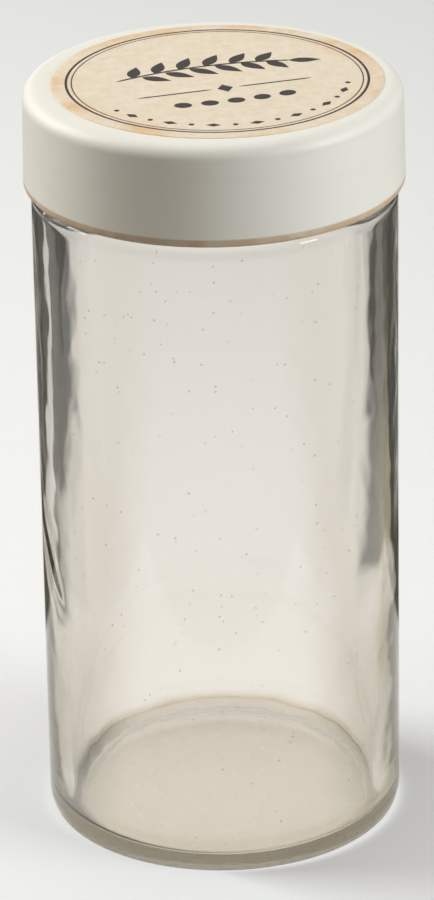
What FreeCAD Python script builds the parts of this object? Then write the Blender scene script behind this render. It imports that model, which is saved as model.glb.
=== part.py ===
import FreeCAD, Part
import math
import os
import Sketcher

# Straight-sided glass spice jar with a screw cap, in millimetres.
# +Z is up along the jar's axis; the origin is on that axis, in the plane of the
# ring that the jar stands on.  The cap is drawn screwed down.

doc = FreeCAD.newDocument("spice_jar")

# ---------------------------------------------------------------- dimensions
sizes = doc.addObject("Spreadsheet::Sheet", "sizes")

CELLS = [
    # glass body
    ("jar_radius", 24.0),          # outside of the straight wall
    ("inner_radius", 21.6),        # inside of the straight wall
    ("heel_round", 1.6),           # outside corner at the base
    ("bearing_inner", 19.4),       # inner edge of the ring it stands on
    ("push_up", 0.9),              # rise of the underside at the axis
    ("floor_edge", 2.7),           # inside floor, at the foot of the wall
    ("floor_mid", 3.0),            # inside floor, at the axis
    ("inner_corner", 1.0),         # inside corner between floor and wall
    ("shoulder_top", 90.0),
    ("shoulder_round", 1.6),
    ("inner_shoulder", 87.8),      # where the inside starts to narrow
    # screw finish
    ("neck_radius", 22.15),
    ("mouth_radius", 20.0),        # bore of the mouth
    ("mouth_foot", 91.4),          # lower end of that bore
    ("rim_top", 99.9),
    ("rim_round_out", 1.0),
    ("rim_round_in", 0.5),
    ("thread_lead", 4.2333),       # six turns to the inch
    ("jar_thread_start", 92.4),    # height of the glass thread where it begins
    ("jar_thread_turns", 1.2),
    ("jar_thread_crest", 23.4),
    ("jar_thread_root_half", 0.95),
    ("jar_thread_crest_half", 0.5),
    # cap
    ("cap_bottom", 89.75),
    ("cap_top", 103.3),
    ("cap_radius_low", 24.9),
    ("cap_radius_high", 24.68),
    ("cap_edge_round", 2.0),
    ("cap_lip_round", 0.8),        # outside of the lower edge
    ("cap_lip_ease", 0.2),         # inside of the lower edge
    ("cap_bore", 23.75),
    ("cap_ceiling", 102.0),
    ("cap_inner_round", 0.6),
    ("cap_thread_crest", 22.6),
    ("cap_thread_root_half", 0.72),
    ("cap_thread_crest_half", 0.4),
    ("cap_thread_turns", 1.2),
    ("thread_drop", 1.52),         # cap thread rides this far below the glass thread
    ("cap_phase", 48.0),           # angle where the cap thread begins, degrees
    # sealing disc under the cap's top
    ("liner_bottom", 100.9),
    ("liner_top", 101.85),
    ("liner_radius", 23.0),
    # perforated insert in the mouth
    ("flange_radius", 21.9),
    ("flange_thick", 0.8),
    ("plug_radius", 19.93),
    ("plug_wall", 1.0),
    ("plug_foot", 94.4),
    ("sieve_low", 95.0),
    ("sieve_high", 95.9),
    ("sieve_hole", 6.6),           # diameter of each hole
    ("sieve_ring", 10.8),          # radius of the ring of holes
    ("sieve_count", 6),
    # paper disc on the cap
    ("label_radius", 21.55),
    ("label_thick", 0.12),
    ("label_shift", 0.6),          # stuck on a little off centre
]

VALUE = {}
for row, (alias, number) in enumerate(CELLS, start=1):
    sizes.set("A%d" % row, alias)
    sizes.set("B%d" % row, str(number))
    sizes.setAlias("B%d" % row, alias)
    VALUE[alias] = float(number)
doc.recompute()


def number_of(expr):
    # The starting value of a sum of terms such as "jar_radius - heel_round".
    total = 0.0
    sign = 1.0
    for word in expr.split():
        if word == "+":
            sign = 1.0
        elif word == "-":
            sign = -1.0
        else:
            total += sign * (VALUE[word] if word in VALUE else float(word))
            sign = 1.0
    return total


def bound(expr):
    # The same sum, reading the sheet.
    return " ".join("sizes." + word if word in VALUE else word for word in expr.split())


def plane(body, role):
    for feature in body.Origin.OriginFeatures:
        if feature.Role == role:
            return feature
    raise RuntimeError("no plane " + role)


def make_body(label):
    body = doc.addObject("PartDesign::Body", label)
    body.Label = label
    return body


def half_profile(body, name, points, arcs):
    # A closed outline in the XZ plane.  points are pairs of sums (radius, height);
    # arcs maps the index of a point to the rounding between it and the next one:
    # (radius as a sum or an expression, starting radius, +1 or -1 for its side).
    sketch = body.newObject("Sketcher::SketchObject", name)
    sketch.AttachmentSupport = [(plane(body, "XZ_Plane"), "")]
    sketch.MapMode = "FlatFace"
    spots = [FreeCAD.Vector(number_of(px), number_of(pz), 0) for px, pz in points]
    count = len(spots)
    ends = []
    for i in range(count):
        a, b = spots[i], spots[(i + 1) % count]
        if i in arcs:
            text, radius, side = arcs[i]
            mid = (a + b) * 0.5
            chord = b - a
            half = chord.Length / 2.0
            rise = math.sqrt(max(radius * radius - half * half, 0.0))
            across = FreeCAD.Vector(-chord.y, chord.x, 0).normalize()
            centre = mid + across * (rise * side)
            start = math.atan2(a.y - centre.y, a.x - centre.x)
            stop = math.atan2(b.y - centre.y, b.x - centre.x)
            circle = Part.Circle(centre, FreeCAD.Vector(0, 0, 1), radius)
            if side > 0:
                index = sketch.addGeometry(Part.ArcOfCircle(circle, start, stop), False)
                ends.append((index, 1, 2))
            else:
                index = sketch.addGeometry(Part.ArcOfCircle(circle, stop, start), False)
                ends.append((index, 2, 1))
        else:
            index = sketch.addGeometry(Part.LineSegment(a, b), False)
            ends.append((index, 1, 2))
    for i in range(count):
        here, after = ends[i], ends[(i + 1) % count]
        sketch.addConstraint(Sketcher.Constraint("Coincident", here[0], here[2], after[0], after[1]))
    for i in range(count):
        geo, first = ends[i][0], ends[i][1]
        px, pz = points[i]
        if abs(spots[i].x) < 1e-9:
            sketch.addConstraint(Sketcher.Constraint("PointOnObject", geo, first, -2))
        else:
            c = sketch.addConstraint(Sketcher.Constraint("DistanceX", -1, 1, geo, first, spots[i].x))
            sketch.renameConstraint(c, "across%d" % i)
            sketch.setExpression("Constraints.across%d" % i, bound(px))
        if abs(spots[i].y) < 1e-9:
            sketch.addConstraint(Sketcher.Constraint("PointOnObject", geo, first, -1))
        else:
            c = sketch.addConstraint(Sketcher.Constraint("DistanceY", -1, 1, geo, first, spots[i].y))
            sketch.renameConstraint(c, "up%d" % i)
            sketch.setExpression("Constraints.up%d" % i, bound(pz))
        if i in arcs:
            text, radius, side = arcs[i]
            c = sketch.addConstraint(Sketcher.Constraint("Radius", geo, radius))
            sketch.renameConstraint(c, "round%d" % i)
            sketch.setExpression("Constraints.round%d" % i, text)
    return sketch


def revolve(body, name, sketch):
    feature = body.newObject("PartDesign::Revolution", name)
    feature.Profile = sketch
    feature.ReferenceAxis = (sketch, ["V_Axis"])
    feature.Angle = 360.0
    sketch.Visibility = False
    doc.recompute()
    return feature


def winding(body, name, sketch, turns):
    # A right-hand ridge wound about the jar's axis.
    feature = body.newObject("PartDesign::AdditiveHelix", name)
    feature.Profile = sketch
    feature.ReferenceAxis = (sketch, ["V_Axis"])
    feature.Mode = "pitch-turns-angle"
    feature.Pitch = VALUE["thread_lead"]
    feature.Turns = VALUE[turns]
    feature.Angle = 0.0
    feature.LeftHanded = False
    feature.Reversed = False
    feature.setExpression("Pitch", "sizes.thread_lead")
    feature.setExpression("Turns", "sizes." + turns)
    doc.recompute()
    return feature


def dome(across, up):
    # Radius of a shallow spherical rise "up" over a half width "across".
    r = number_of(across)
    h = number_of(up)
    text = "(({a})^2 + ({u})^2) / (2 * ({u}))".format(a=bound(across), u=bound(up))
    return text, (r * r + h * h) / (2.0 * h)


# ---------------------------------------------------------------- glass jar
jar = make_body("glass_jar")
under_text, under_radius = dome("bearing_inner", "push_up")
floor_text, floor_radius = dome("inner_radius - inner_corner", "floor_mid - floor_edge")
jar_outline = half_profile(
    jar,
    "jar_outline",
    [
        ("0", "push_up"),
        ("bearing_inner", "0"),
        ("jar_radius - heel_round", "0"),
        ("jar_radius", "heel_round"),
        ("jar_radius", "shoulder_top - shoulder_round"),
        ("jar_radius - shoulder_round", "shoulder_top"),
        ("neck_radius", "shoulder_top"),
        ("neck_radius", "rim_top - rim_round_out"),
        ("neck_radius - rim_round_out", "rim_top"),
        ("mouth_radius + rim_round_in", "rim_top"),
        ("mouth_radius", "rim_top - rim_round_in"),
        ("mouth_radius", "mouth_foot"),
        ("inner_radius", "inner_shoulder"),
        ("inner_radius", "floor_edge + inner_corner"),
        ("inner_radius - inner_corner", "floor_edge"),
        ("0", "floor_mid"),
    ],
    {
        0: (under_text, under_radius, -1),
        2: ("sizes.heel_round", VALUE["heel_round"], 1),
        4: ("sizes.shoulder_round", VALUE["shoulder_round"], 1),
        7: ("sizes.rim_round_out", VALUE["rim_round_out"], 1),
        9: ("sizes.rim_round_in", VALUE["rim_round_in"], 1),
        13: ("sizes.inner_corner", VALUE["inner_corner"], -1),
        14: (floor_text, floor_radius, 1),
    },
)
jar_turned = revolve(jar, "jar_turned", jar_outline)
jar_plain_volume = jar.Shape.Volume

# Ridge of the screw finish: a trapezoid sunk a little into the neck.
jar_ridge = half_profile(
    jar,
    "jar_ridge",
    [
        ("neck_radius - 0.4", "jar_thread_start - jar_thread_root_half"),
        ("neck_radius", "jar_thread_start - jar_thread_root_half"),
        ("jar_thread_crest", "jar_thread_start - jar_thread_crest_half"),
        ("jar_thread_crest", "jar_thread_start + jar_thread_crest_half"),
        ("neck_radius", "jar_thread_start + jar_thread_root_half"),
        ("neck_radius - 0.4", "jar_thread_start + jar_thread_root_half"),
    ],
    {},
)
jar_thread = winding(jar, "jar_thread", jar_ridge, "jar_thread_turns")
if jar.Shape.Volume <= jar_plain_volume + 50.0:
    raise RuntimeError("the jar's thread added nothing")

# ---------------------------------------------------------------- screw cap
cap = make_body("screw_cap")
cap_outline = half_profile(
    cap,
    "cap_outline",
    [
        ("0", "cap_ceiling"),
        ("cap_bore - cap_inner_round", "cap_ceiling"),
        ("cap_bore", "cap_ceiling - cap_inner_round"),
        ("cap_bore", "cap_bottom + cap_lip_ease"),
        ("cap_bore + cap_lip_ease", "cap_bottom"),
        ("cap_radius_low - cap_lip_round", "cap_bottom"),
        ("cap_radius_low", "cap_bottom + cap_lip_round"),
        ("cap_radius_high", "cap_top - cap_edge_round"),
        ("cap_radius_high - cap_edge_round", "cap_top"),
        ("0", "cap_top"),
    ],
    {
        1: ("sizes.cap_inner_round", VALUE["cap_inner_round"], -1),
        5: ("sizes.cap_lip_round", VALUE["cap_lip_round"], 1),
        7: ("sizes.cap_edge_round", VALUE["cap_edge_round"], 1),
    },
)
cap_turned = revolve(cap, "cap_turned", cap_outline)
cap_plain_volume = cap.Shape.Volume

# The cap's ridge has the same lead and runs just under the glass one.  It is drawn
# at angle zero; the cap's placement then turns it to the angle where it begins.
VALUE["cap_thread_start"] = (
    VALUE["jar_thread_start"] - VALUE["thread_drop"]
    + VALUE["thread_lead"] * VALUE["cap_phase"] / 360.0
)
row = len(CELLS) + 1
sizes.set("A%d" % row, "cap_thread_start")
sizes.set("B%d" % row, "%.6f" % VALUE["cap_thread_start"])
sizes.setAlias("B%d" % row, "cap_thread_start")
doc.recompute()
cap_ridge = half_profile(
    cap,
    "cap_ridge",
    [
        ("cap_bore + 0.3", "cap_thread_start + cap_thread_root_half"),
        ("cap_bore", "cap_thread_start + cap_thread_root_half"),
        ("cap_thread_crest", "cap_thread_start + cap_thread_crest_half"),
        ("cap_thread_crest", "cap_thread_start - cap_thread_crest_half"),
        ("cap_bore", "cap_thread_start - cap_thread_root_half"),
        ("cap_bore + 0.3", "cap_thread_start - cap_thread_root_half"),
    ],
    {},
)
cap_thread = winding(cap, "cap_thread", cap_ridge, "cap_thread_turns")
if cap.Shape.Volume <= cap_plain_volume + 40.0:
    raise RuntimeError("the cap's thread added nothing")
cap.Placement = FreeCAD.Placement(
    FreeCAD.Vector(0, 0, 0),
    FreeCAD.Rotation(FreeCAD.Vector(0, 0, 1), VALUE["cap_phase"]),
)
cap.setExpression("Placement.Rotation.Angle", "sizes.cap_phase * 1 deg")

# ---------------------------------------------------------------- sealing disc
liner = make_body("cap_liner")
liner_outline = half_profile(
    liner,
    "liner_outline",
    [
        ("0", "liner_bottom"),
        ("liner_radius", "liner_bottom"),
        ("liner_radius", "liner_top"),
        ("0", "liner_top"),
    ],
    {},
)
revolve(liner, "liner_turned", liner_outline)

# ---------------------------------------------------------------- sifter insert
sifter = make_body("sifter_insert")
sifter_outline = half_profile(
    sifter,
    "sifter_outline",
    [
        ("0", "sieve_low"),
        ("plug_radius - plug_wall", "sieve_low"),
        ("plug_radius - plug_wall", "plug_foot"),
        ("plug_radius - 0.3", "plug_foot"),
        ("plug_radius", "plug_foot + 0.5"),
        ("plug_radius", "rim_top"),
        ("flange_radius", "rim_top"),
        ("flange_radius", "rim_top + flange_thick"),
        ("plug_radius - plug_wall", "rim_top + flange_thick"),
        ("plug_radius - plug_wall", "sieve_high"),
        ("0", "sieve_high"),
    ],
    {},
)
revolve(sifter, "sifter_turned", sifter_outline)


def drill(body, name, reach):
    # A round hole through the sieve, "reach" from the axis, cut upwards from z = 0.
    sketch = body.newObject("Sketcher::SketchObject", name + "_circle")
    sketch.AttachmentSupport = [(plane(body, "XY_Plane"), "")]
    sketch.MapMode = "FlatFace"
    at = VALUE[reach] if reach else 0.0
    circle = sketch.addGeometry(
        Part.Circle(FreeCAD.Vector(at, 0, 0), FreeCAD.Vector(0, 0, 1), VALUE["sieve_hole"] / 2.0), False
    )
    if reach:
        sketch.addConstraint(Sketcher.Constraint("PointOnObject", circle, 3, -1))
        c = sketch.addConstraint(Sketcher.Constraint("DistanceX", -1, 1, circle, 3, at))
        sketch.renameConstraint(c, "reach")
        sketch.setExpression("Constraints.reach", "sizes." + reach)
    else:
        sketch.addConstraint(Sketcher.Constraint("Coincident", circle, 3, -1, 1))
    c = sketch.addConstraint(Sketcher.Constraint("Diameter", circle, VALUE["sieve_hole"]))
    sketch.renameConstraint(c, "across")
    sketch.setExpression("Constraints.across", "sizes.sieve_hole")
    before = body.Shape.Volume
    pocket = body.newObject("PartDesign::Pocket", name)
    pocket.Profile = sketch
    pocket.Type = "ThroughAll"
    pocket.Reversed = True
    sketch.Visibility = False
    doc.recompute()
    if body.Shape.Volume >= before - 10.0:
        raise RuntimeError(name + " cut nothing")
    return pocket


drill(sifter, "middle_hole", None)
ring_hole = drill(sifter, "ring_hole", "sieve_ring")
before_ring = sifter.Shape.Volume
ring = sifter.newObject("PartDesign::PolarPattern", "ring_of_holes")
ring.Originals = [ring_hole]
ring.Axis = (sifter_outline, ["V_Axis"])
ring.Angle = 360.0
ring.Occurrences = int(VALUE["sieve_count"])
ring.setExpression("Occurrences", "sizes.sieve_count")
sifter.Tip = ring
doc.recompute()
if sifter.Shape.Volume >= before_ring - 50.0:
    raise RuntimeError("the ring of holes cut nothing")

# ---------------------------------------------------------------- paper label
label = make_body("top_label")
label_outline = half_profile(
    label,
    "label_outline",
    [
        ("0", "cap_top"),
        ("label_radius", "cap_top"),
        ("label_radius", "cap_top + label_thick"),
        ("0", "cap_top + label_thick"),
    ],
    {},
)
revolve(label, "label_turned", label_outline)
label.Placement = FreeCAD.Placement(FreeCAD.Vector(VALUE["label_shift"], 0, 0), FreeCAD.Rotation())
label.setExpression("Placement.Base.x", "sizes.label_shift")

doc.recompute()

# ---------------------------------------------------------------- tests and output
PIECES = [jar, cap, liner, sifter, label]

for thing in doc.Objects:
    state = [str(word) for word in thing.State]
    if "Invalid" in state or "Error" in state:
        raise RuntimeError("%s is %s" % (thing.Name, state))
for piece in PIECES:
    if piece.Shape.isNull() or not piece.Shape.isValid():
        raise RuntimeError(piece.Label + " has no valid shape")
    if len(piece.Shape.Solids) != 1:
        raise RuntimeError(piece.Label + " isn't one solid")

os.makedirs("parts", exist_ok=True)
for piece in PIECES:
    box = piece.Shape.BoundBox
    print("%-14s volume %9.1f  z %.2f to %.2f  x %.2f to %.2f" % (
        piece.Label, piece.Shape.Volume, box.ZMin, box.ZMax, box.XMin, box.XMax))
    piece.Shape.exportStep("parts/%s.step" % piece.Label)
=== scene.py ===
import math

import bpy
import numpy as np
from mathutils import Matrix, Vector, noise


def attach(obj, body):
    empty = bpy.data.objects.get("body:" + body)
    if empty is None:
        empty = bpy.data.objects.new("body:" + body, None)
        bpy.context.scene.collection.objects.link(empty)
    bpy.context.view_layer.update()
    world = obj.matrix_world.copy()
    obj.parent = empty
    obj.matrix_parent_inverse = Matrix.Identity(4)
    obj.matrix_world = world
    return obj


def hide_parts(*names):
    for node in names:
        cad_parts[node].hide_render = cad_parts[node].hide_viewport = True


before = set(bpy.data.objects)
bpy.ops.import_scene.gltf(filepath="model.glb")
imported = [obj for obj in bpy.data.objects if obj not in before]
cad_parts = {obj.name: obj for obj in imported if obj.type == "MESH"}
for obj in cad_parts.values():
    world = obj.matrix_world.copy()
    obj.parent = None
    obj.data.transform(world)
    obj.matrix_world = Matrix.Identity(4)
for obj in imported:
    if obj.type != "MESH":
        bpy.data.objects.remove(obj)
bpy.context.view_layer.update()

MM = 0.001
TAU = 2.0 * math.pi
scene = bpy.context.scene

# ------------------------------------------------------------------ dimensions, in millimetres
JAR_R = 24.0
WALL_IN = 21.6
HEEL = 1.0
HEEL_TALL = 2.7
RING_IN = 19.4
PUSH_UP = 0.9
FLOOR_EDGE = 2.6
FLOOR_MID = 2.9
CORNER = 0.9
SHOULDER = 90.0
SHOULDER_R = 1.6
NECK_R = 22.15
MOUTH_R = 20.0
RIM = 99.9
LEAD = 4.2333
THREAD_Z = 92.4
THREAD_TURNS = 1.2
THREAD_CREST = 23.4
CAP_LOW = 89.75
CAP_TOP = 103.3
CAP_R_LOW = 24.9
CAP_R_HIGH = 24.68
CAP_EDGE = 2.0
CAP_LIP = 0.8
CAP_BORE = 23.75
CAP_CEIL = 102.0
CAP_CREST = 22.6
THREAD_DROP = 1.52
CAP_PHASE = 48.0
LABEL_R = 21.55
LABEL_X = 0.6
LABEL_TOP = 103.405
INK_TOP = 103.417
LABEL_TURN = 17.0


# ------------------------------------------------------------------ mesh helpers
def arc(cx, cz, r, a0, a1, n):
    """Points of an arc in the (radius, height) plane, angles in degrees."""
    return [
        (cx + r * math.cos(math.radians(a0 + (a1 - a0) * k / n)),
         cz + r * math.sin(math.radians(a0 + (a1 - a0) * k / n)))
        for k in range(n + 1)
    ]


def run(p, q, step):
    """Points of a straight run from p to q, about step apart."""
    n = max(1, int(round(math.hypot(q[0] - p[0], q[1] - p[1]) / step)))
    return [(p[0] + (q[0] - p[0]) * k / n, p[1] + (q[1] - p[1]) * k / n) for k in range(n + 1)]


def chain(*lists):
    """Joins runs of points and drops repeated ones."""
    out = []
    for pts in lists:
        for p in pts:
            if not out or math.hypot(out[-1][0] - p[0], out[-1][1] - p[1]) > 1e-6:
                out.append(p)
    return out


def lathe(name, profile, segments, shape=None):
    """A turned piece. profile runs from axis to axis, outside first; shape moves points."""
    prof = np.array(profile, float)
    theta = np.arange(segments) * (TAU / segments)
    rings = prof[1:-1]
    r = np.repeat(rings[:, 0:1], segments, axis=1)
    z = np.repeat(rings[:, 1:2], segments, axis=1)
    t = np.repeat(theta[None, :], len(rings), axis=0)
    if shape is not None:
        r, z = shape(r, z, t)
    x, y = r * np.cos(t), r * np.sin(t)
    verts = [(0.0, 0.0, prof[0, 1])]
    verts += list(map(tuple, np.stack([x, y, z], -1).reshape(-1, 3)))
    verts.append((0.0, 0.0, prof[-1, 1]))
    last = len(verts) - 1
    faces = []
    n = len(rings)
    for j in range(segments):
        faces.append((0, 1 + (j + 1) % segments, 1 + j))
    for i in range(n - 1):
        a, b = 1 + i * segments, 1 + (i + 1) * segments
        for j in range(segments):
            k = (j + 1) % segments
            faces.append((a + j, a + k, b + k, b + j))
    base = 1 + (n - 1) * segments
    for j in range(segments):
        faces.append((last, base + j, base + (j + 1) % segments))
    mesh = bpy.data.meshes.new(name)
    mesh.from_pydata([(px * MM, py * MM, pz * MM) for px, py, pz in verts], [], faces)
    mesh.validate()
    mesh.polygons.foreach_set("use_smooth", [True] * len(mesh.polygons))
    mesh.update()
    obj = bpy.data.objects.new(name, mesh)
    scene.collection.objects.link(obj)
    return obj


def wave(t, z, turn, up, seed):
    """Smooth noise on a cylinder: turn is its detail around, up its detail per millimetre of height."""
    out = np.empty(t.shape)
    for idx in np.ndindex(t.shape):
        a, h = t[idx], z[idx]
        out[idx] = noise.noise(Vector((turn * math.cos(a) + seed, turn * math.sin(a) - seed, up * h + 2.0 * seed)))
    return out


def ridge(offset, root, crest):
    """Height of a rounded thread, from 0 to 1, at a distance from its middle line."""
    d = np.abs(offset)
    f = np.clip((root - d) / (root - crest), 0.0, 1.0)
    return f * f * (3.0 - 2.0 * f)


def fade(turns, total, run_in):
    """A thread's start and end, which sink into the wall."""
    f = np.clip(np.minimum(turns, total - turns) / run_in, 0.0, 1.0)
    return f * f * (3.0 - 2.0 * f)


# ------------------------------------------------------------------ node helpers
class Tree:
    """A short way to write a material's nodes."""

    def __init__(self, name):
        self.mat = bpy.data.materials.new(name)
        self.mat.use_nodes = True
        self.t = self.mat.node_tree
        for n in list(self.t.nodes):
            self.t.nodes.remove(n)
        self.out = self.t.nodes.new("ShaderNodeOutputMaterial")
        self.bsdf = self.t.nodes.new("ShaderNodeBsdfPrincipled")
        self.t.links.new(self.bsdf.outputs[0], self.out.inputs[0])
        self.coord = self.t.nodes.new("ShaderNodeTexCoord").outputs["Object"]

    def put(self, sock, value):
        if isinstance(value, bpy.types.NodeSocket):
            self.t.links.new(value, sock)
        elif value is not None:
            sock.default_value = value

    def math(self, op, a, b=None, c=None, clamp=False):
        n = self.t.nodes.new("ShaderNodeMath")
        n.operation = op
        n.use_clamp = clamp
        self.put(n.inputs[0], a)
        self.put(n.inputs[1], b)
        self.put(n.inputs[2], c)
        return n.outputs[0]

    def scale(self, vec, k):
        n = self.t.nodes.new("ShaderNodeVectorMath")
        n.operation = "MULTIPLY"
        self.put(n.inputs[0], vec)
        n.inputs[1].default_value = k if hasattr(k, "__len__") else (k, k, k)
        return n.outputs[0]

    def noise(self, vec, scale, detail=2.0, rough=0.5, distort=0.0, color=False):
        n = self.t.nodes.new("ShaderNodeTexNoise")
        self.put(n.inputs["Vector"], vec)
        n.inputs["Scale"].default_value = scale
        n.inputs["Detail"].default_value = detail
        n.inputs["Roughness"].default_value = rough
        n.inputs["Distortion"].default_value = distort
        return n.outputs["Color" if color else "Fac"]

    def voronoi(self, vec, scale, feature="F1", rand=1.0, out="Distance"):
        n = self.t.nodes.new("ShaderNodeTexVoronoi")
        n.feature = feature
        self.put(n.inputs["Vector"], vec)
        n.inputs["Scale"].default_value = scale
        n.inputs["Randomness"].default_value = rand
        return n.outputs[out]

    def ramp(self, fac, stops):
        n = self.t.nodes.new("ShaderNodeValToRGB")
        e = n.color_ramp.elements
        while len(e) > 1:
            e.remove(e[-1])
        e[0].position, e[0].color = stops[0][0], rgba(stops[0][1])
        for pos, col in stops[1:]:
            x = e.new(pos)
            x.color = rgba(col)
        self.put(n.inputs[0], fac)
        return n.outputs[0]

    def mix(self, fac, a, b):
        n = self.t.nodes.new("ShaderNodeMix")
        n.data_type = "RGBA"
        self.put(n.inputs[0], fac)
        self.put(n.inputs[6], rgba(a) if not isinstance(a, bpy.types.NodeSocket) else a)
        self.put(n.inputs[7], rgba(b) if not isinstance(b, bpy.types.NodeSocket) else b)
        return n.outputs[2]

    def span(self, v, a, b, c, d, smooth=False):
        n = self.t.nodes.new("ShaderNodeMapRange")
        n.interpolation_type = "SMOOTHSTEP" if smooth else "LINEAR"
        n.clamp = True
        self.put(n.inputs[0], v)
        for k, x in zip((1, 2, 3, 4), (a, b, c, d)):
            n.inputs[k].default_value = x
        return n.outputs[0]

    def parts(self, vec):
        n = self.t.nodes.new("ShaderNodeSeparateXYZ")
        self.put(n.inputs[0], vec)
        return n.outputs[0], n.outputs[1], n.outputs[2]

    def bump(self, height, strength, distance):
        n = self.t.nodes.new("ShaderNodeBump")
        n.inputs["Strength"].default_value = strength
        n.inputs["Distance"].default_value = distance
        self.put(n.inputs["Height"], height)
        self.put(self.bsdf.inputs["Normal"], n.outputs[0])
        return n

    def set(self, **kw):
        for key, value in kw.items():
            name = key.replace("_", " ")
            self.put(self.bsdf.inputs[name], rgba(value) if name.endswith(("Color", "Tint")) and isinstance(value, tuple) else value)


def rgba(c):
    if not hasattr(c, "__len__"):
        return (c, c, c, 1.0)
    return tuple(c) + ((1.0,) if len(c) == 3 else ())


def srgb(r, g, b):
    f = lambda v: v / 12.92 if v <= 0.04045 else ((v + 0.055) / 1.055) ** 2.4
    return tuple(f(v / 255.0) for v in (r, g, b))


# ------------------------------------------------------------------ the jar
def jar_profile():
    dome_r = (RING_IN ** 2 + PUSH_UP ** 2) / (2 * PUSH_UP)
    under = [(RING_IN * k / 14.0, PUSH_UP - (dome_r - math.sqrt(dome_r ** 2 - (RING_IN * k / 14.0) ** 2))) for k in range(14)]
    lip = arc(RING_IN + 0.35, 0.35, 0.35, 225, 270, 4)
    heel = [(JAR_R - HEEL * (1.0 - math.sin(a)), HEEL_TALL * (1.0 - math.cos(a))) for a in np.linspace(0.0, math.pi / 2, 17)]
    wall = run((JAR_R, HEEL_TALL), (JAR_R, SHOULDER - SHOULDER_R), 1.0)
    shoulder = arc(JAR_R - SHOULDER_R, SHOULDER - SHOULDER_R, SHOULDER_R, 0, 84, 12)
    foot = arc(NECK_R + 0.25, SHOULDER + 0.2, 0.25, 250, 180, 5)
    neck = run((NECK_R, SHOULDER + 0.22), (NECK_R, RIM - 1.0), 0.22)
    rim = chain(arc(NECK_R - 1.0, RIM - 1.0, 1.0, 0, 90, 8), arc(MOUTH_R + 0.5, RIM - 0.5, 0.5, 90, 180, 6))
    mouth = run((MOUTH_R, RIM - 0.5), (MOUTH_R, 92.2), 1.0)
    inner_shoulder = []
    for k in range(1, 15):
        f = k / 14.0
        s = f * f * (3 - 2 * f)
        inner_shoulder.append((MOUTH_R + (WALL_IN - MOUTH_R) * s, 92.2 + (87.2 - 92.2) * f))
    inside = run((WALL_IN, 87.2), (WALL_IN, FLOOR_EDGE + CORNER), 0.5)
    corner = arc(WALL_IN - CORNER, FLOOR_EDGE + CORNER, CORNER, 0, -90, 12)
    rise = FLOOR_MID - FLOOR_EDGE
    reach = WALL_IN - CORNER
    floor = [(reach * (1 - k / 14.0), FLOOR_EDGE + rise * (1 - (1 - k / 14.0) ** 2)) for k in range(15)]
    return chain(under, lip, heel, wall, shoulder, foot, neck, rim, mouth, inner_shoulder, inside, corner, floor)


def smooth(table):
    """A run of (height, offset) points as a finely spaced smooth curve."""
    z = np.arange(0.0, 95.0, 0.25)
    v = np.interp(z, [q[0] for q in table], [q[1] for q in table])
    k = np.exp(-0.5 * (np.arange(-16, 17) * 0.25 / 1.3) ** 2)
    v = np.convolve(np.pad(v, 16, mode="edge"), k / k.sum(), mode="valid")
    return z, v


# how far the inside is from its nominal radius, on the left and on the right, by height
FOOT = [(0, -0.45), (5, -0.45), (12, -0.2), (22, 0.1)]
WALL_LEFT = smooth(FOOT + [(34, 0.3), (45, 0.45), (66, 0.4), (84, 0.4), (92, 0.2)])
WALL_RIGHT = smooth(FOOT + [(31, 0.35), (40, 0.47), (66, 0.45), (80, 0.45), (92, 0.4)])


FOLD = ([31.0, 34.5, 37.1, 43.0, 50.0, 54.0], [205.0, 199.0, 195.0, 184.0, 179.0, 178.0])


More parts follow.
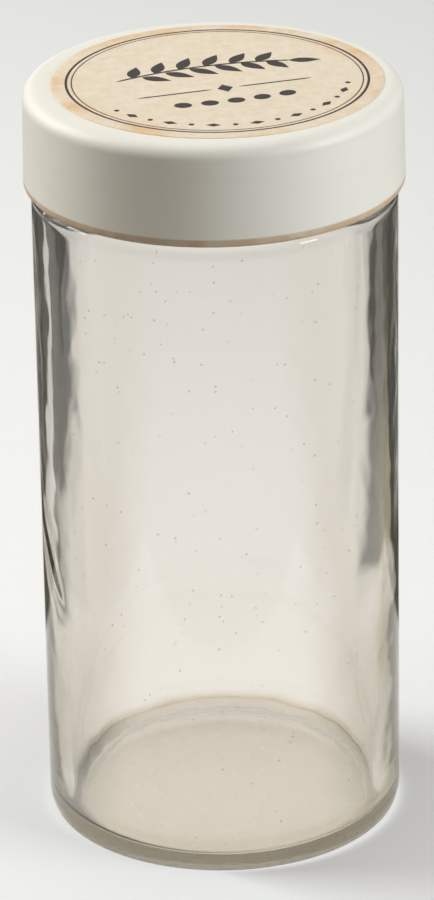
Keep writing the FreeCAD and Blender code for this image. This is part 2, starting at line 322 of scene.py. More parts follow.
def jar_shape(r, z, t):
    r0, z0 = r.copy(), z.copy()
    # screw ridge on the neck
    for k in (0, 1):
        turns = t / TAU + k
        mid = THREAD_Z + LEAD * turns
        live = fade(turns, THREAD_TURNS, 0.09) * (turns <= THREAD_TURNS)
        on_neck = (np.abs(r0 - NECK_R) < 1e-4) & (z0 > SHOULDER)
        r = r + np.where(on_neck, ridge(z0 - mid, 0.95, 0.35) * live * (THREAD_CREST - NECK_R - 0.02), 0.0)
    # the blown inside is uneven: thin above a slanting ring low on the wall, thick below it, and rippled all over
    inner = (r0 <= WALL_IN + 1e-6) & (z0 > FLOOR_EDGE - 1e-6) & (z0 < 92.0) & (r0 > 8.0)
    ease = np.clip((91.5 - z0) / 3.5, 0, 1) * np.clip((r0 - 8.0) / (WALL_IN - 8.0), 0, 1) ** 3
    ease = ease * ease * (3.0 - 2.0 * ease)
    on_left = 0.5 - 0.5 * np.cos(t)
    left = np.interp(z0, WALL_LEFT[0], WALL_LEFT[1])
    right = np.interp(z0, WALL_RIGHT[0], WALL_RIGHT[1])
    slow = wave(t, z0, 1.1, 0.022, 3.7)
    mid = wave(t, z0, 2.6, 0.050, 11.3)
    quick = wave(t, z0, 5.0, 0.110, 23.9)
    fine = wave(t, z0, 9.0, 0.24, 5.1)
    grain = wave(t, z0, 15.0, 0.50, 17.7)
    uneven = on_left * left + (1.0 - on_left) * right
    # a slanting fold in the glass
    fold_at = np.radians(np.interp(z0, FOLD[0], FOLD[1]))
    across = (t - fold_at) * WALL_IN
    fold = np.exp(-(across / 1.7) ** 2) * np.interp(z0, [31.0, 37.0, 46.0, 54.0], [0.0, 1.0, 1.0, 0.0])
    uneven = uneven - 0.16 * fold
    r = r + np.where(inner, ease * (uneven + 0.05 * slow + 0.03 * mid + 0.020 * quick + 0.016 * fine + 0.006 * grain), 0.0)
    outer = (r0 > JAR_R - 1e-6) & (z0 > 1.0) & (z0 < 89.0)
    skin = wave(t, z0, 1.6, 0.035, 41.0)
    r = r + np.where(outer, -0.02 * (1.0 + skin), 0.0)
    # the floor is thicker at the back
    low = (z0 < FLOOR_EDGE + CORNER + 8.0) & (z0 > FLOOR_EDGE - 1e-6) & (r0 <= WALL_IN + 1e-6)
    drop = np.clip((FLOOR_EDGE + CORNER + 8.0 - z0) / 8.0, 0, 1)
    z = z + np.where(low, drop * 0.042 * r0 * np.sin(t), 0.0)
    return r, z


jar = lathe("jar_glass", jar_profile(), 256, jar_shape)

g = Tree("clear_glass")
v = g.coord
gx, gy, gz = g.parts(g.scale(v, 1000.0))
gr = g.math("SQRT", g.math("ADD", g.math("MULTIPLY", gx, gx), g.math("MULTIPLY", gy, gy)))
specks = g.voronoi(v, 560.0)
pick = g.parts(g.voronoi(v, 560.0, out="Color"))[0]
dot = g.math("MULTIPLY", g.span(specks, 0.05, 0.13, 1.0, 0.0, True), g.span(pick, 0.72, 0.76, 0.0, 1.0))
film = g.noise(v, 60.0, 4.0, 0.6)
grit = g.noise(v, 900.0, 3.0, 0.6)
inside_low = g.math("MULTIPLY", g.span(gz, 3.6, 5.0, 1.0, 0.0, True), g.span(gr, 22.2, 22.8, 1.0, 0.0, True))
inside_low = g.math("MULTIPLY", inside_low, g.span(gz, 1.2, 1.5, 0.0, 1.0))
scuffed = g.span(gz, 0.95, 1.3, 1.0, 0.0, True)
clear = g.span(film, 0.35, 0.75, 0.02, 0.05)
rough = g.math("MAXIMUM", clear, g.math("MULTIPLY", inside_low, g.span(grit, 0.3, 0.7, 0.14, 0.20)))
rough = g.math("MAXIMUM", rough, g.math("MULTIPLY", scuffed, g.span(grit, 0.3, 0.7, 0.27, 0.33)))
tint = g.mix(g.math("MULTIPLY", dot, 0.75), (0.975, 0.960, 0.950), (0.42, 0.35, 0.25))
dust = g.math("MULTIPLY", g.span(g.math("ABSOLUTE", g.math("SUBTRACT", gr, 20.3)), 0.15, 0.45, 1.0, 0.0, True), g.span(gz, 1.3, 1.7, 0.0, 1.0))
dust = g.math("MULTIPLY", dust, g.span(g.noise(v, 220.0, 4.0, 0.6), 0.35, 0.65, 0.35, 0.9))
haze = g.math("MULTIPLY", g.math("MULTIPLY", g.span(gr, 19.4, 20.0, 0.0, 1.0), inside_low), 0.6)
tint = g.mix(dust, g.mix(haze, tint, (0.86, 0.81, 0.72)), (0.60, 0.52, 0.40))
g.set(Base_Color=tint, Roughness=rough, IOR=1.52)
g.bsdf.inputs["Transmission Weight"].default_value = 1.0
g.bsdf.inputs["Sheen Weight"].default_value = 0.10
g.bsdf.inputs["Sheen Roughness"].default_value = 0.35
g.bsdf.inputs["Sheen Tint"].default_value = rgba((1.0, 0.93, 0.80))
soak = g.t.nodes.new("ShaderNodeVolumeAbsorption")
soak.inputs["Color"].default_value = rgba((0.60, 0.55, 0.38))
soak.inputs["Density"].default_value = 45.0
g.t.links.new(soak.outputs[0], g.out.inputs["Volume"])
jar.data.materials.append(g.mat)
jar.visible_shadow = False
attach(jar, "jar")
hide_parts("glass_jar")


# ------------------------------------------------------------------ the cap
def cap_profile():
    slope = math.degrees(math.atan2(CAP_R_LOW - CAP_R_HIGH, CAP_TOP - CAP_LOW))
    top = [(0.0, CAP_TOP)] + run((2.0, CAP_TOP), (CAP_R_HIGH - CAP_EDGE, CAP_TOP), 2.0)
    edge = arc(CAP_R_HIGH - CAP_EDGE, CAP_TOP - CAP_EDGE, CAP_EDGE, 90, slope, 14)
    skirt = run((CAP_R_HIGH, CAP_TOP - CAP_EDGE), (CAP_R_LOW, CAP_LOW + CAP_LIP), 0.8)
    lip = arc(CAP_R_LOW - CAP_LIP, CAP_LOW + CAP_LIP, CAP_LIP, 0, -90, 12)
    lip_in = arc(CAP_BORE + 0.2, CAP_LOW + 0.2, 0.2, 270, 180, 5)
    bore = run((CAP_BORE, CAP_LOW + 0.2), (CAP_BORE, CAP_CEIL - 0.6), 0.22)
    inner = arc(CAP_BORE - 0.6, CAP_CEIL - 0.6, 0.6, 0, 90, 6)
    ceil = run((CAP_BORE - 0.6, CAP_CEIL), (1.0, CAP_CEIL), 2.5) + [(0.0, CAP_CEIL)]
    pts = chain(top, edge, skirt, lip, lip_in, bore, inner, ceil)
    return pts[::-1]


def cap_shape(r, z, t):
    r0, z0 = r.copy(), z.copy()
    start = THREAD_Z - THREAD_DROP + LEAD * CAP_PHASE / 360.0
    for k in (0, 1):
        turns = ((t - math.radians(CAP_PHASE)) % TAU) / TAU + k
        mid = start + LEAD * turns
        live = fade(turns, 1.2, 0.06) * (turns <= 1.2)
        on_bore = np.abs(r0 - CAP_BORE) < 1e-4
        r = r - np.where(on_bore, ridge(z0 - mid, 0.72, 0.3) * live * (CAP_BORE - CAP_CREST - 0.02), 0.0)
    return r, z


cap = lathe("cap_shell", cap_profile(), 240, cap_shape)
c = Tree("cap_plastic")
v = c.coord
broad = c.noise(v, 34.0, 3.0, 0.55)
fine = c.noise(v, 420.0, 3.0, 0.6)
base = c.ramp(broad, [(0.30, srgb(238, 235, 223)), (0.70, srgb(241, 239, 229))])
cz = c.parts(v)[2]
# painted shade: a tan band low on the skirt, just above its lower edge, stands in for the shaded gap between the cap
# and the glass shoulder; noise mottles it
lip = c.math("MULTIPLY", c.span(cz, (CAP_LOW + 1.35) * MM, (CAP_LOW + 1.05) * MM, 0.0, 1.0, True), c.span(c.noise(v, 300.0, 3.0, 0.6), 0.25, 0.6, 0.55, 1.0))
streak = c.noise(c.scale(v, (1.0, 1.0, 7.0)), 70.0, 4.0, 0.6)
base = c.mix(c.span(streak, 0.5, 0.75, 0.0, 0.10), base, srgb(214, 206, 186))
base = c.mix(c.math("MULTIPLY", lip, 0.85), base, srgb(196, 164, 124))
c.set(Base_Color=base, Roughness=c.span(fine, 0.3, 0.75, 0.42, 0.52), IOR=1.45)
c.bump(fine, 0.03, 0.0002)
cap.data.materials.append(c.mat)
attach(cap, "cap")
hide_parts("screw_cap")


# ------------------------------------------------------------------ the label
def label_profile():
    low, top = CAP_TOP + 0.002, LABEL_TOP
    return chain([(0.0, low)], run((2.0, low), (LABEL_R, low), 2.4), [(LABEL_R + 0.0, top - 0.02), (LABEL_R - 0.03, top)],
                 run((LABEL_R - 0.5, top), (1.0, top), 1.2), [(0.0, top)])


label = lathe("label_disc", label_profile(), 240)
label.location.x = LABEL_X * MM
p = Tree("label_paper")
v = p.coord
px, py, pz = p.parts(v)
rad = p.math("SQRT", p.math("ADD", p.math("MULTIPLY", px, px), p.math("MULTIPLY", py, py)))
blot = p.noise(v, 130.0, 5.0, 0.65)
paper = p.ramp(p.noise(v, 700.0, 4.0, 0.7), [(0.3, srgb(226, 210, 186)), (0.7, srgb(240, 226, 204))])
edge = p.math("MULTIPLY", p.span(rad, 0.0165, 0.0212, 0.0, 1.0, True), p.span(blot, 0.42, 0.68, 0.0, 1.0, True))
col = p.mix(p.math("MULTIPLY", edge, 0.7), paper, srgb(222, 174, 108))
p.set(Base_Color=col, Roughness=0.75, IOR=1.45)
label.data.materials.append(p.mat)
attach(label, "cap")
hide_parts("top_label")


def ring(radius, width, n=180):
    """Outline pair of a printed ring."""
    out = []
    for rr in (radius + width / 2.0, radius - width / 2.0):
        out.append([(rr * math.cos(TAU * k / n), rr * math.sin(TAU * k / n)) for k in range(n)])
    return out


def leaf(x, y, length, width, angle, n=10):
    """A pointed leaf that starts at a point."""
    a = math.radians(angle)
    pts = [(length * k / n, 0.5 * width * math.sin(math.pi * (k / n) ** 0.8)) for k in range(n + 1)]
    pts += [(px, -py) for px, py in pts[-2:0:-1]]
    return [(x + px * math.cos(a) - py * math.sin(a), y + px * math.sin(a) + py * math.cos(a)) for px, py in pts]


def bead(x, y, rx, ry, angle=0.0, n=20):
    a = math.radians(angle)
    pts = [(rx * math.cos(TAU * k / n), ry * math.sin(TAU * k / n)) for k in range(n)]
    return [(x + px * math.cos(a) - py * math.sin(a), y + px * math.sin(a) + py * math.cos(a)) for px, py in pts]


def stroke(points, width):
    """A thin line through points, narrowed at its ends."""
    left, right = [], []
    for i, (x, y) in enumerate(points):
        x0, y0 = points[max(0, i - 1)]
        x1, y1 = points[min(len(points) - 1, i + 1)]
        n = math.hypot(x1 - x0, y1 - y0)
        f = 0.35 if i in (0, len(points) - 1) else 1.0
        ox, oy = -(y1 - y0) / n * width * f / 2.0, (x1 - x0) / n * width * f / 2.0
        left.append((x + ox, y + oy))
        right.append((x - ox, y - oy))
    return right + left[::-1]


def print_shapes():
    """A leafy sprig over a rule and a row of seeds, inside a ringed border."""
    shapes = []
    stem = [(x, 3.6 + 1.9 * (1.0 - (x / 12.5) ** 2)) for x in np.linspace(-12.5, 11.5, 25)]
    shapes.append(stroke(stem, 0.42))
    for k, x in enumerate((-10.2, -6.9, -3.5, 0.0, 3.5, 6.9)):
        y = 3.6 + 1.9 * (1.0 - (x / 12.5) ** 2)
        tilt = -math.degrees(math.atan(2 * 1.9 * x / 12.5 ** 2))
        size = 4.6 - 0.22 * abs(k - 2.5)
        shapes.append(leaf(x, y + 0.12, size, 1.75, tilt + 52))
        shapes.append(leaf(x + 1.3, y - 0.12, size, 1.75, tilt - 52))
    shapes.append(leaf(11.0, 3.95, 4.2, 1.7, -14))
    for side in (-1, 1):
        shapes.append(stroke([(side * x, -3.4) for x in np.linspace(1.9, 11.6, 12)][::side], 0.34))
    shapes.append([(1.05, -3.4), (0.0, -2.0), (-1.05, -3.4), (0.0, -4.8)])
    for k in range(-2, 3):
        shapes.append(bead(3.5 * k, -8.2 + 0.10 * k * k, 1.15, 0.95, 8.0 * k))
    for k in range(-7, 8):
        a = math.radians(270 + 9.5 * k)
        r = 16.9
        x, y = r * math.cos(a), r * math.sin(a)
        if k % 2:
            shapes.append(bead(x, y, 0.36, 0.36, n=14))
        else:
            t, u = (-math.sin(a), math.cos(a)), (math.cos(a), math.sin(a))
            shapes.append([(x + t[0] * 1.0, y + t[1] * 1.0), (x + u[0] * 0.55, y + u[1] * 0.55), (x - t[0] * 1.0, y - t[1] * 1.0), (x - u[0] * 0.55, y - u[1] * 0.55)])
    return shapes


def printed(name, shapes, rings, low, top):
    """Thin solids of ink from flat outlines."""
    verts, faces = [], []
    for pts in shapes:
        area2 = sum(pts[i][0] * pts[(i + 1) % len(pts)][1] - pts[(i + 1) % len(pts)][0] * pts[i][1] for i in range(len(pts)))
        pts = pts if area2 > 0 else pts[::-1]
        n, o = len(pts), len(verts)
        verts += [(x, y, low) for x, y in pts] + [(x, y, top) for x, y in pts]
        faces.append(tuple(o + n + k for k in range(n)))
        faces.append(tuple(o + k for k in reversed(range(n))))
        faces += [(o + k, o + (k + 1) % n, o + n + (k + 1) % n, o + n + k) for k in range(n)]
    for outer, inner in rings:
        n, o = len(outer), len(verts)
        for z in (low, top):
            verts += [(x, y, z) for x, y in outer] + [(x, y, z) for x, y in inner]
        a, b, c, d = o, o + n, o + 2 * n, o + 3 * n
        for k in range(n):
            j = (k + 1) % n
            faces += [(c + k, c + j, d + j, d + k), (a + j, a + k, b + k, b + j), (a + k, a + j, c + j, c + k), (b + j, b + k, d + k, d + j)]
    turn = math.radians(LABEL_TURN)
    co, si = math.cos(turn), math.sin(turn)
    mesh = bpy.data.meshes.new(name)
    mesh.from_pydata([((LABEL_X + x * co - y * si) * MM, (x * si + y * co) * MM, z * MM) for x, y, z in verts], [], faces)
    mesh.validate()
    mesh.update()
    obj = bpy.data.objects.new(name, mesh)
    scene.collection.objects.link(obj)
    return obj


ink = printed("label_print", print_shapes(), [ring(19.55, 0.34), ring(18.85, 0.16)], LABEL_TOP - 0.002, INK_TOP)
k = Tree("label_ink")
worn = k.noise(k.coord, 1500.0, 4.0, 0.7)
k.set(Base_Color=k.ramp(worn, [(0.35, srgb(36, 28, 26)), (0.62, srgb(50, 40, 36)), (0.80, srgb(108, 92, 80))]), Roughness=k.span(worn, 0.3, 0.7, 0.55, 0.70), IOR=1.45)
ink.data.materials.append(k.mat)
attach(ink, "cap")


# ------------------------------------------------------------------ the sealing disc and the sifter
def liner_profile():
    """A pulp disc with the mark of the jar's rim pressed in its underside."""
    low, top, rim = 100.9, 101.85, 23.0
    under = []
    for x in np.arange(0.0, rim - 0.2, 0.4):
        press = math.exp(-((x - 21.0) / 0.9) ** 4)
        under.append((float(x), low + 0.14 * press))
    return chain(under, arc(rim - 0.12, low + 0.12, 0.12, -90, 0, 4), arc(rim - 0.12, top - 0.12, 0.12, 0, 90, 4),
                 run((rim - 0.5, top), (1.0, top), 2.0), [(0.0, top)])


liner = lathe("liner_disc", liner_profile(), 180)
b = Tree("liner_board")
v = b.coord
bx, by, bz = b.parts(b.scale(v, 1000.0))
br = b.math("SQRT", b.math("ADD", b.math("MULTIPLY", bx, bx), b.math("MULTIPLY", by, by)))
fibre = b.noise(b.scale(v, (1.0, 2.2, 1.0)), 900.0, 5.0, 0.7, 0.4)
board = b.ramp(fibre, [(0.32, srgb(196, 184, 160)), (0.52, srgb(214, 204, 182)), (0.70, srgb(226, 218, 200))])
pressed = b.math("MULTIPLY", b.span(b.math("ABSOLUTE", b.math("SUBTRACT", br, 21.0)), 0.4, 1.3, 1.0, 0.0, True), b.span(b.noise(v, 160.0, 3.0, 0.6), 0.35, 0.65, 0.3, 0.8))
b.set(Base_Color=b.mix(pressed, board, srgb(172, 146, 108)), Roughness=b.span(fibre, 0.3, 0.7, 0.75, 0.9), IOR=1.4)
b.bump(fibre, 0.35, 0.00012)
liner.data.materials.append(b.mat)
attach(liner, "liner")
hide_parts("cap_liner")

n = Tree("natural_plastic")
v = n.coord
cloud = n.noise(v, 90.0, 4.0, 0.6)
grain = n.noise(v, 1400.0, 2.0, 0.5)
n.set(Base_Color=n.ramp(cloud, [(0.3, srgb(232, 229, 219)), (0.7, srgb(240, 238, 231))]), Roughness=n.span(grain, 0.3, 0.7, 0.36, 0.50), IOR=1.5)
n.bsdf.inputs["Subsurface Weight"].default_value = 0.0
n.bump(grain, 0.10, 0.0001)
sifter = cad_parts["sifter_insert"]
sifter.data.materials.clear()
sifter.data.materials.append(n.mat)

# ------------------------------------------------------------------ floor, light, camera
def flat(name, outline, z):
    mesh = bpy.data.meshes.new(name)
    mesh.from_pydata([(x, y, z) for x, y in outline], [], [tuple(range(len(outline)))])
    o = bpy.data.objects.new(name, mesh)
    scene.collection.objects.link(o)
    return o


def pale_floor(name, bordered):
    """Pale floor whose colour darkens further behind the jar, a painted falloff of the light. The bordered one has soft
    dark cards beside and behind the jar, so that the glass has something to show; rays through the glass see it as
    emitted colour with painted light and shade.
    """
    f = Tree(name)
    fx, fy, fz = f.parts(f.coord)
    # painted falloff of the light: the base colour is darker further behind the jar
    f.set(Base_Color=f.mix(f.span(fy, 0.05, 0.45, 0.0, 1.0), srgb(243, 243, 242), srgb(230, 231, 231)), Roughness=0.7, IOR=1.3)
    if bordered:
        ax = f.math("ABSOLUTE", fx)
        soft = 0.0035
        front = f.math("MULTIPLY", f.span(fy, 0.050 - soft, 0.050 + soft, 1.0, 0.0, True), f.span(ax, 0.085, 0.095, 1.0, 0.0, True))
        front = f.math("MULTIPLY", front, f.span(fy, -0.095, -0.085, 0.0, 1.0, True))
        edge = f.math("MINIMUM", f.math("MULTIPLY_ADD", fy, 0.383, 0.0108), f.math("MULTIPLY_ADD", fy, 0.15, 0.0365))
        strip = f.math("MULTIPLY", f.span(f.math("SUBTRACT", ax, edge), -soft, soft, 1.0, 0.0, True), f.span(fy, 0.0, 0.01, 0.0, 1.0))
        mask = f.math("MAXIMUM", front, strip)
        clear = f.t.nodes.new("ShaderNodeBsdfTransparent")
        both = f.t.nodes.new("ShaderNodeMixShader")
        f.put(both.inputs[0], mask)
        f.t.links.new(clear.outputs[0], both.inputs[1])
        f.t.links.new(f.bsdf.outputs[0], both.inputs[2])
        # rays that come through the glass see this floor glow with the painted light, shade and dark cards from
        # behind_glass
        glow = f.t.nodes.new("ShaderNodeEmission")
        way = f.t.nodes.new("ShaderNodeLightPath")
        f.put(glow.inputs[0], behind_glass(f))
        last = f.t.nodes.new("ShaderNodeMixShader")
        f.put(last.inputs[0], way.outputs["Is Transmission Ray"])
        f.t.links.new(both.outputs[0], last.inputs[1])
        f.t.links.new(glow.outputs[0], last.inputs[2])
        f.t.links.new(last.outputs[0], f.out.inputs[0])
        f.mat.cycles.emission_sampling = "NONE"
    else:
        away = f.math("SQRT", f.math("ADD", f.math("MULTIPLY", fx, fx), f.math("MULTIPLY", fy, fy)))
        clear = f.t.nodes.new("ShaderNodeBsdfTransparent")
        fade = f.t.nodes.new("ShaderNodeMixShader")
        f.put(fade.inputs[0], f.span(away, 0.37, 0.64, 0.0, 1.0, True))
        f.t.links.new(f.bsdf.outputs[0], fade.inputs[1])
        f.t.links.new(clear.outputs[0], fade.inputs[2])
        f.t.links.new(fade.outputs[0], f.out.inputs[0])
    return f.mat


def behind_glass(f):
    """The floor as it shows through the glass, in millimetres from the jar's axis, as emitted colour: pale with a
    painted falloff of brightness behind the jar, painted shade under the jar and towards its sides, and painted dark
    cards on both sides behind it that stand in for dark surroundings.
    """
    x, y, z = f.parts(f.scale(f.coord, 1000.0))
    ax = f.math("ABSOLUTE", x)
    d = f.math("SQRT", f.math("ADD", f.math("MULTIPLY", x, x), f.math("MULTIPLY", y, y)))
    left = f.span(x, -4.0, 4.0, 1.0, 0.0, True)

    # the pale floor, with a painted falloff of brightness away from the jar and painted shade towards its sides, dark
    # from the cards' edges on
    white = f.ramp(f.span(y, 0.0, 250.0, 0.0, 1.0), [(0.0, (1.02, 1.01, 0.97)), (0.42, (0.915, 0.905, 0.88)), (1.0, (0.735, 0.74, 0.705))])
    shade = f.math("MULTIPLY", f.span(ax, 12.0, 26.0, 0.0, 1.0, True), f.math("MULTIPLY", f.span(y, 32.0, 62.0, 0.85, 0.5, True), f.span(y, 62.0, 240.0, 1.0, 0.0)))
    shade = f.math("MULTIPLY", shade, f.math("MULTIPLY", f.span(y, -10.0, 5.0, 0.0, 1.0), f.span(ax, 55.0, 90.0, 1.0, 0.0)))
    white = f.mix(shade, white, (0.64, 0.61, 0.53))
    edge = f.math("MULTIPLY_ADD", y, f.span(left, 0.0, 1.0, 0.28, 0.190), f.span(left, 0.0, 1.0, 10.9, 16.6))
    beyond = f.span(f.math("SUBTRACT", ax, edge), -4.0, 5.0, 0.0, 1.0, True)
    beyond = f.math("MULTIPLY", beyond, f.span(f.math("SUBTRACT", ax, f.math("MULTIPLY", left, f.math("MULTIPLY_ADD", y, -0.1, 58.0))), -4.0, 5.0, 0.0, 1.0, True))
    start = f.math("MULTIPLY_ADD", left, 28.0, 64.0)
    beyond = f.math("MULTIPLY", beyond, f.span(f.math("SUBTRACT", y, start), -4.0, 5.0, 0.0, 1.0, True))
    # a gap in the left card
    gap = f.math("MULTIPLY", f.span(f.math("ABSOLUTE", f.math("ADD", x, y)), 14.0, 22.0, 1.0, 0.0, True), f.span(f.math("SUBTRACT", y, x), 30.0, 40.0, 0.0, 1.0))
    card = f.math("SUBTRACT", 1.0, gap)
    col = f.mix(f.math("MULTIPLY", beyond, card), white, (0.060, 0.062, 0.057))

    # the cards' outer parts, painted dark; on the right, nearer the jar, painted tan shade
    off = f.math("SUBTRACT", y, 8.0)
    behind = f.math("MULTIPLY", f.span(y, 5.0, 20.0, 0.0, 1.0), f.span(f.math("SUBTRACT", ax, f.math("MULTIPLY", y, 1.9)), 10.0, 40.0, 1.0, 0.0))
    far_l = f.span(f.math("SUBTRACT", ax, f.math("MULTIPLY_ADD", off, 0.57, 22.0)), -3.0, 4.0, 0.0, 1.0, True)
    out_l = f.math("MULTIPLY", f.math("MULTIPLY", far_l, f.span(d, 64.0, 73.0, 0.0, 1.0, True)), left)
    out_l = f.math("MULTIPLY", out_l, f.math("MULTIPLY", behind, card))
    col = f.mix(out_l, col, (0.125, 0.12, 0.10))
    far_r = f.span(f.math("SUBTRACT", ax, f.math("MULTIPLY_ADD", off, 0.78, 22.0)), -3.0, 4.0, 0.0, 1.0, True)
    out_r = f.math("MULTIPLY", f.math("MULTIPLY", far_r, f.span(d, 42.0, 51.0, 0.0, 1.0, True)), f.math("SUBTRACT", 1.0, left))
    out_r = f.math("MULTIPLY", out_r, behind)
    col = f.mix(f.math("MULTIPLY", out_r, 0.8), col, f.mix(f.span(d, 125.0, 185.0, 0.0, 1.0), (0.58, 0.52, 0.37), (0.18, 0.16, 0.12)))
    # the shaded table under the jar, darkest where the ring stands on it
    blot = f.noise(f.coord, 85.0, 3.0, 0.55)
    tan = f.mix(f.span(y, -20.0, 2.0, 0.0, 1.0), (0.82, 0.755, 0.65), (0.96, 0.89, 0.78))
    tan = f.mix(f.span(blot, 0.35, 0.65, 0.0, 0.22), tan, (0.90, 0.87, 0.79))
    tan = f.mix(f.math("MULTIPLY", f.span(ax, 13.0, 20.0, 0.0, 1.0, True), 0.7), tan, (0.58, 0.56, 0.46))
    contact = f.math("MULTIPLY", f.span(d, 19.0, 21.0, 0.0, 1.0, True), f.span(d, 24.5, 29.0, 1.0, 0.0, True))
    col = f.mix(f.span(f.math("SUBTRACT", d, f.span(y, 0.0, 14.0, 0.0, 6.0)), 18.5, 21.0, 1.0, 0.0, True), col, tan)
    return f.mix(f.math("MULTIPLY", contact, f.span(y, 6.0, 18.0, 0.95, 0.10)), col, f.mix(f.span(x, -15.0, 6.0, 0.0, 1.0), (0.07, 0.065, 0.05), (0.56, 0.51, 0.38)))


near_floor = flat("near_floor", [(-0.6, -0.6), (0.6, -0.6), (0.6, 0.8), (-0.6, 0.8)], -0.00005)
near_floor.data.materials.append(pale_floor("near_floor", True))
near_floor.visible_shadow = False
near_floor.visible_camera = False
far_floor = flat("far_floor", [(-6, -6), (6, -6), (6, 6), (-6, 6)], 0.0)
far_floor.data.materials.append(pale_floor("far_floor", False))
far_floor.visible_shadow = False
far_floor.visible_diffuse = False
far_floor.visible_glossy = False
far_floor.visible_transmission = False


def veil(name, radius, low, high, a0, a1, through):
    """A curved screen that only dims the light, for the shade of the glass on the floor."""
    pts, faces = [], []
    n = 48
    for k in range(n + 1):
        a = math.radians(a0 + (a1 - a0) * k / n)
        pts += [(radius * MM * math.cos(a), radius * MM * math.sin(a), z * MM) for z in (low, high)]
    for k in range(n):
        faces.append((2 * k, 2 * k + 2, 2 * k + 3, 2 * k + 1))
    mesh = bpy.data.meshes.new(name)
    mesh.from_pydata(pts, [], faces)
    o = bpy.data.objects.new(name, mesh)
    scene.collection.objects.link(o)
    m = bpy.data.materials.new(name)
    m.use_nodes = True
    t = m.node_tree
    for nd in list(t.nodes):
        t.nodes.remove(nd)
    tr = t.nodes.new("ShaderNodeBsdfTransparent")
    tr.inputs[0].default_value = rgba(through)
    t.links.new(tr.outputs[0], t.nodes.new("ShaderNodeOutputMaterial").inputs[0])
    mesh.materials.append(m)
    for flag in ("camera", "diffuse", "glossy", "transmission", "volume_scatter"):
        setattr(o, "visible_" + flag, False)
    return o


veil_right = veil("veil_right", 23.0, 1.0, 89.0, -95, 95, (0.30, 0.275, 0.26))
veil_left = veil("veil_left", 23.0, 1.0, 89.0, 85, 275, (0.45, 0.44, 0.42))


def area(name, azimuth, elevation, away, size, power, color=(1, 1, 1), aim=(0, 0, 0.05)):
    """A soft light. Azimuth 0 is the viewer's side, positive to the right."""
    data = bpy.data.lights.new(name, "AREA")
    data.shape = "RECTANGLE"
    data.size, data.size_y = size
    data.energy = power
    data.color = color
    o = bpy.data.objects.new(name, data)
    scene.collection.objects.link(o)
    az, el = math.radians(azimuth), math.radians(elevation)
    way = Vector((math.sin(az) * math.cos(el), -math.cos(az) * math.cos(el), math.sin(el)))
    o.location = Vector(aim) + way * away
    o.rotation_mode = "QUATERNION"
    o.rotation_quaternion = (-way).to_track_quat("-Z", "Y")
    o.visible_transmission = False
    return o


def leave_out(light, what, *objs):
    """A collection of objects that the light leaves out."""
    group = bpy.data.collections.new(light.name + "_" + what)
    for o in objs:
        group.objects.link(o)
    for entry in group.collection_objects:
        entry.light_linking.link_state = "EXCLUDE"
    return group


def passes(light, *veils):
    """The light goes through these screens undimmed, and the clear glass shows none of it."""
    light.light_linking.blocker_collection = leave_out(light, "passes", *veils)
    light.light_linking.receiver_collection = leave_out(light, "spares", jar)


passes(area("left_light", -108, 33, 0.95, (0.56, 0.56), 8.5, (0.99, 1.0, 0.99)), veil_left)
passes(area("right_light", 68, 16, 0.75, (0.42, 0.36), 4.3, (0.95, 1.0, 1.04)), veil_right)
passes(area("top_light", 0, 88, 1.00, (0.60, 0.60), 2.3), veil_left, veil_right)

def panel(name, azimuth, elevation, away, size, strength, color=(1, 1, 1), aim=(0, 0, 0.089)):
    """A soft bright panel that shows only as a highlight on the outside of the glass."""
    az, el = math.radians(azimuth), math.radians(elevation)
    way = Vector((math.sin(az) * math.cos(el), -math.cos(az) * math.cos(el), math.sin(el)))
    wide, tall = way.cross(Vector((0, 0, 1))).normalized(), None
    tall = wide.cross(way).normalized()
    mid = Vector(aim) + way * away
    pts = [mid + wide * (sx * size[0] / 2.0) + tall * (sy * size[1] / 2.0) for sx, sy in ((-1, -1), (1, -1), (1, 1), (-1, 1))]
    mesh = bpy.data.meshes.new(name)
    mesh.from_pydata([tuple(q) for q in pts], [], [(0, 1, 2, 3)])
    o = bpy.data.objects.new(name, mesh)
    scene.collection.objects.link(o)
    m = bpy.data.materials.new(name)
    m.use_nodes = True
    t = m.node_tree
    for nd in list(t.nodes):
        t.nodes.remove(nd)
    way_node = t.nodes.new("ShaderNodeLightPath")
    once = t.nodes.new("ShaderNodeMath")
    once.operation = "LESS_THAN"
    t.links.new(way_node.outputs["Transmission Depth"], once.inputs[0])
    once.inputs[1].default_value = 0.5
    glow = t.nodes.new("ShaderNodeEmission")
    glow.inputs[0].default_value = rgba(color)
    glow.inputs[1].default_value = strength
    clear = t.nodes.new("ShaderNodeBsdfTransparent")
    both = t.nodes.new("ShaderNodeMixShader")
    t.links.new(once.outputs[0], both.inputs[0])
    t.links.new(clear.outputs[0], both.inputs[1])
    t.links.new(glow.outputs[0], both.inputs[2])
    t.links.new(both.outputs[0], t.nodes.new("ShaderNodeOutputMaterial").inputs[0])
    m.cycles.emission_sampling = "NONE"
    mesh.materials.append(m)
    for flag in ("camera", "diffuse", "shadow", "volume_scatter"):
        setattr(o, "visible_" + flag, False)
    only = bpy.data.collections.new(name + "_on")
    only.objects.link(jar)
    o.light_linking.receiver_collection = only
    return o


panel("left_panel", -94, 15, 0.8, (0.22, 0.22), 7.0)
panel("right_panel", 58, 15, 0.8, (0.16, 0.16), 7.0)

world = bpy.data.worlds.new("studio")
scene.world = world
world.use_nodes = True
wt = world.node_tree
for n in list(wt.nodes):
    wt.nodes.remove(n)


def wnode(kind, **props):
    n = wt.nodes.new(kind)
    for k, val in props.items():
        setattr(n, k, val)
    return n


def wmath(op, a, b=None):
    n = wnode("ShaderNodeMath", operation=op)
    for sock, val in zip(n.inputs, (a, b)):
        if isinstance(val, bpy.types.NodeSocket):
            wt.links.new(val, sock)
        elif val is not None:
            sock.default_value = val
    return n.outputs[0]


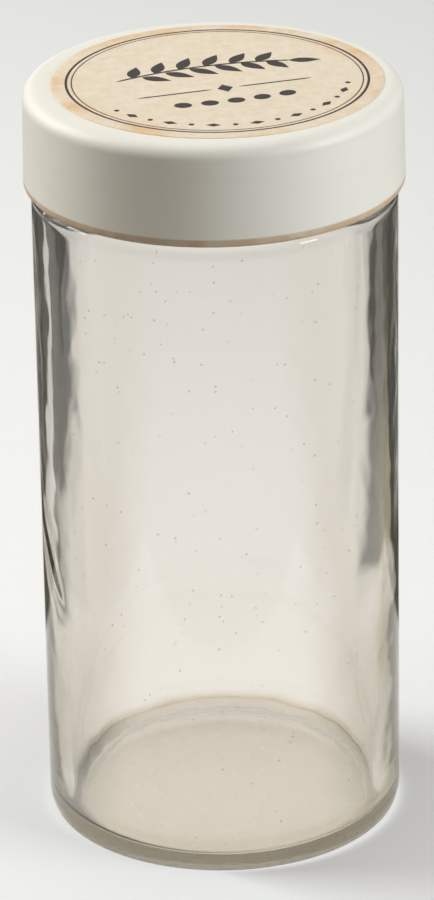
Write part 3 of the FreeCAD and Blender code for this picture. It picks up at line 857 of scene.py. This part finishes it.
def wspan(val, a, b, c, d):
    n = wnode("ShaderNodeMapRange", interpolation_type="SMOOTHSTEP", clamp=True)
    wt.links.new(val, n.inputs[0])
    for k, x in zip((1, 2, 3, 4), (a, b, c, d)):
        n.inputs[k].default_value = x
    return n.outputs[0]


def wmix(fac, a, b):
    n = wnode("ShaderNodeMix", data_type="RGBA")
    for sock, val in ((n.inputs[0], fac), (n.inputs[6], a), (n.inputs[7], b)):
        if isinstance(val, bpy.types.NodeSocket):
            wt.links.new(val, sock)
        else:
            sock.default_value = val if not isinstance(val, tuple) else rgba(val)
    return n.outputs[2]


sep = wnode("ShaderNodeSeparateXYZ")
wt.links.new(wnode("ShaderNodeTexCoord").outputs["Generated"], sep.inputs[0])
dx, dy, dz = sep.outputs
side = wmath("ABSOLUTE", wmath("ARCTAN2", dx, dy))          # angle from straight behind the jar
deg = math.radians
lobe = wmath("MULTIPLY", wspan(side, deg(11.0), deg(12.5), 0.0, 1.0), wspan(side, deg(80), deg(86), 1.0, 0.0))
level = wmath("MULTIPLY", wspan(dz, 0.02, 0.10, 1.0, 0.0), wspan(dz, -0.80, -0.65, 0.0, 1.0))
dark = wmath("MULTIPLY", lobe, level)
seen = wmix(dark, (0.82, 0.82, 0.81), (0.080, 0.083, 0.078))
front = wspan(side, deg(80), deg(120), 0.0, 1.0)
mirrored = wmix(front, seen, (0.20, 0.18, 0.15))
dim = wmix(wspan(dz, -0.25, 0.25, 0.0, 1.0), (0.11, 0.085, 0.06), (0.15, 0.13, 0.11))
path = wnode("ShaderNodeLightPath")
room = wmix(path.outputs["Is Transmission Ray"], wmix(path.outputs["Is Glossy Ray"], dim, mirrored), seen)
shown = wmix(path.outputs["Is Camera Ray"], room, (0.86, 0.86, 0.86))
back = wnode("ShaderNodeBackground")
wt.links.new(shown, back.inputs[0])
wt.links.new(back.outputs[0], wnode("ShaderNodeOutputWorld").inputs[0])

cam_data = bpy.data.cameras.new("camera")
cam = bpy.data.objects.new("camera", cam_data)
scene.collection.objects.link(cam)
scene.camera = cam
pitch, roll, yaw = (math.radians(a) for a in (24.04, -1.023, 0.028))
turn = Matrix.Rotation(yaw, 3, "Z")
ahead = turn @ Vector((0, math.cos(pitch), -math.sin(pitch)))
right = turn @ Vector((1, 0, 0))
up = turn @ Vector((0, math.sin(pitch), math.cos(pitch)))
x_axis = right * math.cos(roll) + up * math.sin(roll)
y_axis = up * math.cos(roll) - right * math.sin(roll)
m = Matrix.Identity(4)
for i in range(3):
    m[i][0], m[i][1], m[i][2] = x_axis[i], y_axis[i], -ahead[i]
m.translation = Vector((0.0, -0.59208, 0.31520))
cam.matrix_world = m
cam_data.sensor_width = 36.0
cam_data.sensor_fit = "AUTO"
cam_data.lens = 194.4
cam_data.clip_start, cam_data.clip_end = 0.01, 30.0

scene.view_settings.view_transform = "Standard"
scene.view_settings.look = "None"
scene.cycles.use_denoising = True
scene.cycles.max_bounces = 48
scene.cycles.glossy_bounces = 48
scene.cycles.transmission_bounces = 48
scene.cycles.caustics_refractive = False
scene.cycles.caustics_reflective = False
